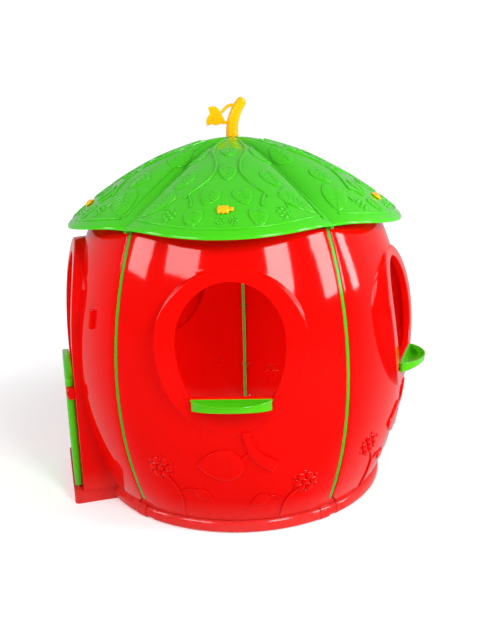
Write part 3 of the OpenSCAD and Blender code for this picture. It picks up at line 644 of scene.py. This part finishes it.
def roof_plants(bm):
    """The vines and leaves on a petal, the same on both halves."""
    leaf(bm, on_roof, (0.0, 0.250), 0.085, 0.066, 90, 0.0044, 0.16, veins=2)
    leaf(bm, on_roof, (0.0, 0.394), 0.100, 0.066, 90, 0.0044, 0.14, veins=3)
    for s in (-1, 1):
        def curve(path, width, rise):
            ridge(bm, on_roof, [(s * x, d) for x, d in path], width, rise)

        def frond(x, d, length, width, turn, notch=0.0, veins=3):
            leaf(bm, on_roof, (s * x, d), length, width, turn if s > 0 else 180 - turn, 0.0044, notch, veins)
        curve([(0.030, 0.120), (0.058, 0.200), (0.060, 0.262), (0.042, 0.322), (0.040, 0.385), (0.064, 0.432),
               (0.104, 0.470), (0.130, 0.488), (0.142, 0.504)], 0.011, 0.0056)
        curve([(0.130, 0.492), (0.120, 0.515), (0.118, 0.548)], 0.008, 0.0050)
        frond(0.110, 0.232, 0.120, 0.074, 238)
        frond(0.152, 0.398, 0.096, 0.076, 62, 0.10)
        frond(0.056, 0.512, 0.082, 0.070, 68, 0.14)
        frond(0.232, 0.470, 0.135, 0.092, 22, 0.10, 4)
        frond(0.108, 0.590, 0.074, 0.066, 84, 0.14)
        flower(bm, on_roof, (s * 0.190, 0.556), 0.017, 0.0078, 0.0052)
        flower(bm, on_roof, (s * 0.022 + 0.004, 0.612), 0.011, 0.0048, 0.0044)
        curve([(0.205, 0.530), (0.196, 0.500), (0.170, 0.486)], 0.005, 0.0040)
    bead = []
    for i in range(25):
        v = -0.88 + 1.76 * i / 24
        r = rim_r(v) - 0.026 - 0.016 * abs(v) ** 3
        bead.append((r * math.sin(v * CORNER), r * math.cos(v * CORNER)))
    ridge(bm, on_roof, bead, 0.008, 0.0048)
    margin = []
    for i in range(21):
        r = 0.105 + (0.596 - 0.105) * i / 20
        a = CORNER - 0.032 / r
        margin.append((r * math.sin(a), r * math.cos(a)))
    ridge(bm, on_roof, margin, 0.006, 0.0040)


def valley_flange(bm, s):
    """Upright flange under a valley, with the lug that stands on the corner strip."""
    reach = [0.080 + (0.605 - 0.080) * i / 14 for i in range(15)]
    upper = [(r, valley_z(r) - 0.0015) for r in reach]
    lug = [(0.605, 1.100), (0.602, 1.0965), (0.588, 1.0965), (0.585, 1.1003), (0.538, 1.1003)]
    lower = [(r, valley_z(r) - 0.030) for r in reversed(reach) if r < 0.534]
    spin = Matrix.Rotation(s * CORNER, 3, "Z")
    near, far = 0.0013, 0.0053
    loops = [[spin @ Vector((-s * off, -r, z)) for r, z in upper + lug + lower] for off in (near, far)]
    pull(bm, loops, ends=(True, True))


def roof_frame():
    """Place of a roof latch on the petal, with its own Z square to the surface."""
    tilt = math.atan((roof_z(SEAT_R - 0.002, 0) - roof_z(SEAT_R + 0.002, 0)) / 0.004)
    return Matrix.Translation((0, -SEAT_R, roof_z(SEAT_R, 0))) @ Matrix.Rotation(tilt, 4, "X")


petal = bmesh.new()
pull(petal, [petal_section(-1 + 2 * i / 56) for i in range(57)], ends=(True, True))
roof_plants(petal)
for s in (-1, 1):
    valley_flange(petal, s)
seat = roof_frame()
bmesh.ops.create_cone(petal, cap_ends=True, segments=40, radius1=0.011, radius2=0.011, depth=0.016,
                      matrix=seat @ Matrix.Translation((0, 0, -0.007)))
for number, side in enumerate(sides):
    moulding(petal.copy(), "petal_" + side, leaf_green, "house",
             ["roof_petal_" + side], 72 * number)

# ---- Roof latches ----
# Yellow turning clips shaped like beetles: a rounded shell with feet and a
# head, on a shaft that passes through the petal and locks under it.

yellow_plastic = moulded("yellow plastic", (0.96, 0.48, 0.002, 1.0), (0.88, 0.38, 0.002, 1.0), gloss=0.16)

SHELL_X = -0.008


def on_seat(x, y, h):
    return seat @ Vector((x, y, 0.0013 + h))


def rounded(x):
    return math.copysign(abs(x) ** 0.75, x)


beetle = bmesh.new()
shell = []
for i in range(48):
    a = 2 * math.pi * i / 48
    shell.append(Vector((0.0215 * rounded(math.cos(a)), 0.0150 * rounded(math.sin(a)))))
loops = []
for k, h in ((0.90, 0.0), (1.0, 0.0012), (1.0, 0.0035), (0.96, 0.006), (0.86, 0.0084), (0.68, 0.0101),
             (0.42, 0.0108), (0.05, 0.011)):
    loops.append([on_seat(SHELL_X + p.x * k, p.y * k, h) for p in shell])
pull(beetle, loops, ends=(True, True))
ridge(beetle, on_seat, [(-0.028, 0.0), (SHELL_X, 0.0), (0.010, 0.0)], 0.0024, 0.0119, 0.004)
upward = seat.to_3x3() @ Vector((0, 0, 1))
for s in (-1, 1):
    for x, y in ((-0.023, 0.0145), (SHELL_X, 0.0158), (0.006, 0.0145)):
        lump(beetle, on_seat(x, s * y, 0.0032), upward, 0.0042, 0.0032)
    for x, y in ((-0.018, 0.0065), (-0.003, 0.0068)):
        lump(beetle, on_seat(x, s * y, 0.0096), upward, 0.0032, 0.0016)
    lump(beetle, on_seat(0.0235, s * 0.0045, 0.0066), upward, 0.0020, 0.0018)
lump(beetle, on_seat(0.019, 0.0, 0.004), upward, 0.0088, 0.0048)
bmesh.ops.create_cone(beetle, cap_ends=True, segments=28, radius1=0.004, radius2=0.004, depth=0.031,
                      matrix=seat @ Matrix.Translation((0, 0, -0.0135)))
foot = bmesh.ops.create_cube(beetle, size=1.0, matrix=seat @ Matrix.Translation((0, 0, -0.026)) @
                             Matrix.Diagonal((0.022, 0.007, 0.006, 1)))["verts"]
bmesh.ops.bevel(beetle, geom=list({e for v in foot for e in v.link_edges}), offset=0.001, segments=2,
                profile=0.5, affect="EDGES", material=-1)
for number, side in enumerate(sides):
    moulding(beetle.copy(), "latch_" + side, yellow_plastic, "latch_" + side,
             ["roof_latch_" + side], 72 * number)

# ---- Hub, stalk and nut ----
# A green hub holds the petals' tips. A ribbed yellow stalk with a leaf stands on
# it, on a threaded shank that a large yellow nut draws down from below.

finish_node("roof_hub", leaf_green)
finish_node("stalk_nut", yellow_plastic)

STALK_Z = roof_z(0.027, 0) + 0.0003
STALK_RISE, STALK_BEND_R, STALK_BEND = 0.022, 0.172, math.radians(45)
SHANK_R, SHANK_LOW, SHANK_HIGH = 0.011, 1.3545, STALK_Z + 0.004
round_about = [2 * math.pi * j / 72 for j in range(72)]


def stalk_line(s):
    """Middle of the stalk and its lean at s along it, s from 0 to 1."""
    way = s * (STALK_RISE + STALK_BEND_R * STALK_BEND)
    if way < STALK_RISE:
        return Vector((0, 0, STALK_Z + way)), 0.0
    a = (way - STALK_RISE) / STALK_BEND_R
    return Vector((STALK_BEND_R * (1 - math.cos(a)), 0,
                   STALK_Z + STALK_RISE + STALK_BEND_R * math.sin(a))), a


bm = bmesh.new()
loops = []
for i in range(49):
    s = i / 48
    middle, lean = stalk_line(s)
    r = 0.0232 - 0.0045 * s ** 1.5
    if s > 0.93:
        r *= math.sqrt(max(0.02, 1 - ((s - 0.93) / 0.071) ** 2)) * 0.98 + 0.02
    side_on, front_on = Vector((math.cos(lean), 0, -math.sin(lean))), Vector((0, 1, 0))
    loop = []
    for a in round_about:
        rib = 1 + 0.055 * math.cos(6 * a) * min(1.0, (1 - s) * 5)
        loop.append(middle + (side_on * math.cos(a) + front_on * math.sin(a)) * r * rib)
    loops.append(loop)
pull(bm, loops, ends=(True, True))
foot = []
for r, h in ((0.020, 0.0), (0.0255, 0.0), (0.026, 0.001), (0.026, 0.0045), (0.0245, 0.006), (0.020, 0.0065)):
    foot.append([Vector((r * math.cos(a), r * math.sin(a), STALK_Z + h)) for a in round_about])
pull(bm, foot, ends=(True, True))
bmesh.ops.create_cone(bm, cap_ends=True, segments=40, radius1=SHANK_R, radius2=SHANK_R,
                      depth=SHANK_HIGH - SHANK_LOW,
                      matrix=Matrix.Translation((0, 0, (SHANK_HIGH + SHANK_LOW) / 2)))


def on_twig(x, z, h):
    return Vector((x, -h, STALK_Z + z))


def twig(path, radius):
    """A round side branch in the leaf's plane."""
    rings = []
    for p, left in smoothed(path):
        ring = []
        for a in [2 * math.pi * j / 16 for j in range(16)]:
            aside = left * radius * math.cos(a)
            ring.append(on_twig(p.x + aside.x, p.y + aside.y, radius * math.sin(a)))
        rings.append(ring)
    pull(bm, rings, ends=(True, True))


twig([(0.014, 0.120), (-0.008, 0.121), (-0.024, 0.111), (-0.047, 0.087)], 0.0062)
twig([(-0.040, 0.056), (-0.026, 0.055), (-0.004, 0.056)], 0.0058)
leaf_edge = [(-0.091, 0.104), (-0.085, 0.090), (-0.098, 0.079), (-0.102, 0.062), (-0.101, 0.042),
             (-0.082, 0.050), (-0.061, 0.043), (-0.046, 0.051), (-0.030, 0.047), (-0.023, 0.056),
             (-0.034, 0.076), (-0.044, 0.096), (-0.055, 0.114), (-0.075, 0.119), (-0.093, 0.115)]
blade_edge = []
for p, q in zip(leaf_edge, leaf_edge[1:] + leaf_edge[:1]):
    blade_edge += [Vector(p).lerp(Vector(q), k) for k in (0.22, 0.5, 0.78)]
loops = []
for g, h in ((0.0022, -0.004), (0.0006, -0.0034), (0.0, -0.002), (0.0, 0.002), (0.0006, 0.0034),
             (0.0022, 0.004)):
    loops.append([on_twig(p.x, p.y, h) for p in shrunk(blade_edge, g)])
pull(bm, loops, ends=(True, True))
ridge(bm, on_twig, [(-0.047, 0.088), (-0.066, 0.078), (-0.092, 0.058)], 0.003, 0.0050, 0.003)
for x, z in ((-0.056, 0.056), (-0.078, 0.060), (-0.076, 0.106)):
    ridge(bm, on_twig, [(-0.062, 0.081), ((x - 0.062) / 2, (z + 0.081) / 2), (x, z)], 0.0022, 0.0048, 0.003)
moulding(bm, "stalk_with_leaf", yellow_plastic, "house", ["stalk"])

# ---- Trays ----
# A deep green bowed tray is screwed under the sill of each window; its
# underside rises towards the front.

deep_green = moulded("deep green plastic", (0.085, 0.50, 0.006, 1.0), (0.060, 0.42, 0.006, 1.0), gloss=0.12)

TRAY_X, TRAY_HALF, TRAY_BACK = 0.006, 0.1375, frame_face(0.550) + 0.0003
low_corner, high_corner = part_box("tray_front")
TRAY_OUT = -low_corner.y - TRAY_BACK
TRAY_TOP = high_corner.z
TRAY_DEEP, TRAY_END, TRAY_LIFT = 0.038, 0.012, 0.018


def tray_plan(g):
    """Plan of a tray: straight against the wall, bowed at the front."""
    half = TRAY_HALF - g
    bow = TRAY_OUT - TRAY_END
    r = (TRAY_HALF ** 2 + bow ** 2) / (2 * bow)
    sweep = math.asin(TRAY_HALF / r)
    points = [Vector((-half + 2 * half * i / 16, g)) for i in range(16)]
    points += [Vector((half, g + (TRAY_END - g) * i / 3)) for i in range(3)]
    for i in range(57):
        a = sweep - 2 * sweep * i / 56
        across = max(-half, min(half, (r - g) * math.sin(a)))
        points.append(Vector((across, TRAY_OUT - r + (r - g) * math.cos(a))))
    points += [Vector((-half, TRAY_END - (TRAY_END - g) * i / 3)) for i in range(1, 3)]
    return points


def tray_ring(g, height, from_floor):
    """The tray's plan drawn in by g, at a height over its rising floor or under its rim."""
    ring = []
    for p in tray_plan(g):
        rise = TRAY_LIFT * max(0.0, min(1.0, p.y / TRAY_OUT)) ** 1.3 if from_floor else 0.0
        level = TRAY_TOP - TRAY_DEEP + height + rise if from_floor else TRAY_TOP - height
        ring.append(Vector((TRAY_X + p.x, -TRAY_BACK - p.y, level)))
    return ring


underside = ((0.020, 0.0), (0.0045, 0.0), (0.0032, 0.001), (0.003, 0.003))
rim = ((0.003, 0.006), (0.0022, 0.004), (0.0004, 0.003), (0.0, 0.0018), (0.0006, 0.0004), (0.002, 0.0),
       (0.0045, 0.0), (0.0058, 0.001), (0.0062, 0.004))
dish = ((0.0066, 0.008), (0.009, 0.0045), (0.014, 0.0034), (0.022, 0.003))
for number, side in ((0, "front"), (1, "right")):
    bm = bmesh.new()
    loops = [tray_ring(g, h, True) for g, h in underside]
    loops += [tray_ring(g, h, False) for g, h in rim]
    loops += [tray_ring(g, h, True) for g, h in dish]
    pull(bm, loops, ends=(True, True))
    moulding(bm, "tray_on_" + side, deep_green, "house", ["tray_" + side], 72 * number)

# ---- Door leaf, hinge bracket and pins ----
# The half-height leaf is a thick green moulding with a rounded top that turns on
# two steel pins, one in the step and one in the red bracket on the frame.

HINGE = Vector((0.109, 0.717))
LEAF_L, LEAF_R, LEAF_LOW, LEAF_SPRING, LEAF_CROWN = -0.283, 0.123, 0.060, 0.500, 0.060
NOTCH_X, NOTCH = 0.089, (0.437, 0.487)
LEAF_FIELD = 0.7285         # the sunk field inside the leaf's raised border


def leaf_outline():
    middle, half = (LEAF_L + LEAF_R) / 2, (LEAF_R - LEAF_L) / 2
    low = LEAF_LOW + 0.006
    right = [(LEAF_R, low + (NOTCH[0] - low) * i / 8) for i in range(9)]
    notch = [(NOTCH_X, NOTCH[0]), (NOTCH_X, NOTCH[1]), (LEAF_R, NOTCH[1])]
    crown = [(middle + half * math.cos(math.radians(a)), LEAF_SPRING + LEAF_CROWN * math.sin(math.radians(a)))
             for a in range(0, 181, 5)]
    left = [(LEAF_L, LEAF_SPRING - (LEAF_SPRING - LEAF_LOW) * i / 8) for i in range(1, 9)]
    foot = [(LEAF_L + (LEAF_R - LEAF_L) * i / 12, LEAF_LOW) for i in range(1, 12)]
    return [Vector(p) for p in right + notch + crown + left + foot]


def on_leaf(x, z, h):
    return Vector((x, -LEAF_FIELD - h, z))


bm = bmesh.new()
outline = leaf_outline()
loops = []
for g, d in ((0.034, 0.7055), (0.030, 0.7050), (0.028, 0.703), (0.010, 0.703), (0.0045, 0.7036),
             (0.0015, 0.7056), (0.0, 0.709), (0.0, 0.725), (0.0015, 0.7284), (0.0045, 0.7304),
             (0.010, 0.731), (0.019, 0.731), (0.021, 0.7304), (0.0225, 0.7292), (0.026, LEAF_FIELD),
             (0.032, LEAF_FIELD)):
    loops.append([Vector((p.x, -d, p.y)) for p in shrunk(outline, g)])
pull(bm, loops, ends=(True, True))
leaf(bm, on_leaf, (-0.150, 0.400), 0.150, 0.105, 130, 0.0022, 0.10, 3)
leaf(bm, on_leaf, (-0.020, 0.300), 0.140, 0.095, 60, 0.0022, 0.10, 3)
leaf(bm, on_leaf, (-0.160, 0.190), 0.130, 0.090, 150, 0.0022, 0.10, 3)
ridge(bm, on_leaf, [(-0.040, 0.105), (-0.085, 0.180), (-0.070, 0.270), (-0.100, 0.350), (-0.090, 0.430)],
      0.012, 0.0023)
flower(bm, on_leaf, (-0.010, 0.440), 0.022, 0.011, 0.0024)
flower(bm, on_leaf, (0.015, 0.160), 0.022, 0.011, 0.0024)
moulding(bm, "door_leaf_moulding", deep_green, "door", ["door_leaf"], 288)

bm = bmesh.new()
EAR_R, ARM_X, SEAT_D = 0.015, 0.143, 0.7003
plan = [HINGE + Vector((math.cos(math.radians(a)), math.sin(math.radians(a)))) * EAR_R
        for a in range(32, 271, 9)]
plan += [Vector(p) for p in ((0.112, SEAT_D), (0.128, SEAT_D), (ARM_X, SEAT_D), (ARM_X, 0.712),
                             (ARM_X, 0.725), (0.134, 0.725))]
loops = []
for g, z in ((0.003, 0.4390), (0.001, 0.4396), (0.0, 0.4415), (0.0, 0.4825), (0.001, 0.4844), (0.003, 0.485)):
    loops.append([Vector((p.x, -p.y, z)) for p in shrunk(plan, g)])
pull(bm, loops, ends=(True, True))
moulding(bm, "bracket_moulding", red_plastic, "house", ["hinge_bracket"], 288)

# ---- Bolts, nuts, screws and pins ----
# Zinc-plated steel fixings, turned and rolled.

steel = Finish("zinc plated steel", Metallic=1.0, IOR=2.2)
place = steel.node("ShaderNodeTexCoord", output="Object")
speck = steel.node("ShaderNodeTexNoise", None, {"Vector": place, "Scale": 220.0, "Detail": 4.0})
steel.feed("Base Color", steel.blend(speck, (0.62, 0.63, 0.64, 1.0), (0.42, 0.43, 0.45, 1.0)))
steel.feed("Roughness", 0.22 + speck * 0.25)
for name in ("panel_bolts", "panel_nuts", "roof_bolts", "roof_nuts", "tray_screws", "bracket_screws",
             "hinge_pin_upper", "hinge_pin_lower"):
    finish_node(name, steel)

# ---- Studio ----
# A pale seamless floor that glows white further out, large soft lamps and the
# camera. The floor is left out of the object's own reflections.

WHITE, GLOW_LOW, GLOW_HIGH = (1.0, 1.0, 1.0, 1.0), (0.22, 0.22, 0.22, 1.0), (0.97, 0.97, 0.97, 1.0)

floor_finish = Finish("studio floor", Roughness=0.9, Specular_IOR_Level=0.1, Emission_Strength=1.0)
place = floor_finish.node("ShaderNodeTexCoord", output="Object")
mottle = floor_finish.node("ShaderNodeTexNoise", None, {"Vector": place, "Scale": 0.7})
floor_finish.feed("Base Color", floor_finish.blend(mottle, (0.93, 0.92, 0.93, 1.0), (0.90, 0.89, 0.90, 1.0)))
away = floor_finish.node("ShaderNodeVectorMath", {"operation": "LENGTH"}, {0: place}, output="Value")
glow = floor_finish.node("ShaderNodeMapRange", {"interpolation_type": "SMOOTHSTEP"},
                         {"Value": away, "From Min": 1.0, "From Max": 3.6})
floor_finish.feed("Emission Color", floor_finish.blend(glow, GLOW_LOW, GLOW_HIGH))
bm = bmesh.new()
bmesh.ops.create_grid(bm, x_segments=2, y_segments=2, size=14)
mesh = bpy.data.meshes.new("floor")
bm.to_mesh(mesh)
bm.free()
mesh.materials.append(floor_finish.material)
floor = bpy.data.objects.new("floor", mesh)
floor.visible_glossy = False
bpy.context.scene.collection.objects.link(floor)

# The surroundings light the object softly: bright all round and overhead, dim on the
# side that the front of the house faces, so that its gloss mirrors the lamps alone.
world = bpy.data.worlds.new("studio")
bpy.context.scene.world = world
world.use_nodes = True
room = Nodes(world.node_tree, "Background")
around = room.node("ShaderNodeTexCoord", output="Generated")
facing = room.node("ShaderNodeSeparateXYZ", None, {0: around}, output="Y")
far_side = room.node("ShaderNodeMapRange", {"interpolation_type": "SMOOTHSTEP"},
                     {"Value": facing, "From Min": -0.25, "From Max": 0.45, "To Min": 0.07, "To Max": 0.55})
seen = room.node("ShaderNodeLightPath", output="Is Camera Ray")
room.feed("Strength", far_side + (1.05 - far_side) * seen)
room.shader.inputs["Color"].default_value = WHITE
bpy.context.scene.view_settings.view_transform = "Standard"


def softbox(name, at, to, width, height, power, mirrored=True):
    """A rectangular lamp; one that isn't mirrored gives light but no reflection."""
    lamp = bpy.data.lights.new(name, "AREA")
    lamp.shape = "RECTANGLE"
    lamp.size, lamp.size_y = width, height
    lamp.energy = power
    stand = bpy.data.objects.new(name, lamp)
    stand.location = at
    stand.rotation_euler = (Vector(to) - Vector(at)).to_track_quat("-Z", "Y").to_euler()
    stand.visible_glossy = mirrored
    bpy.context.scene.collection.objects.link(stand)


centre = (0, 0, 0.9)
softbox("left tall", (-3.34, -1.46, 2.55), centre, 1.1, 1.2, 38)
softbox("left wide", (-2.03, -2.97, 2.78), centre, 1.5, 1.0, 44)
softbox("front window", (1.94, -3.15, 2.65), centre, 1.05, 1.7, 92)
softbox("right window", (3.38, -1.58, 2.34), centre, 0.9, 1.8, 78)
softbox("streak", (3.78, -0.42, 2.07), centre, 0.4, 1.5, 28)
softbox("soft left", (-4.0, -1.5, 2.4), centre, 2.5, 2.5, 12, False)
softbox("overhead", (0, -0.5, 4.2), centre, 3.0, 3.0, 14, False)
softbox("inside glow", (0, -0.1, 1.0), (0, 0, 0.2), 0.4, 0.4, 7.5, False)

lens = bpy.data.cameras.new("camera")
lens.sensor_width = 36
lens.lens = 39.5266
camera = bpy.data.objects.new("camera", lens)
bpy.context.scene.collection.objects.link(camera)
pitch = math.radians(14.45)
look = Vector((-0.0484 * math.cos(pitch), 0.9988 * math.cos(pitch), -math.sin(pitch)))
aim = look.to_track_quat("-Z", "Y").to_matrix().to_4x4()
camera.matrix_world = Matrix.Translation((0.143, -2.881, 1.403)) @ aim @ Matrix.Rotation(math.radians(-1.68), 4, "Z")
bpy.context.scene.camera = camera
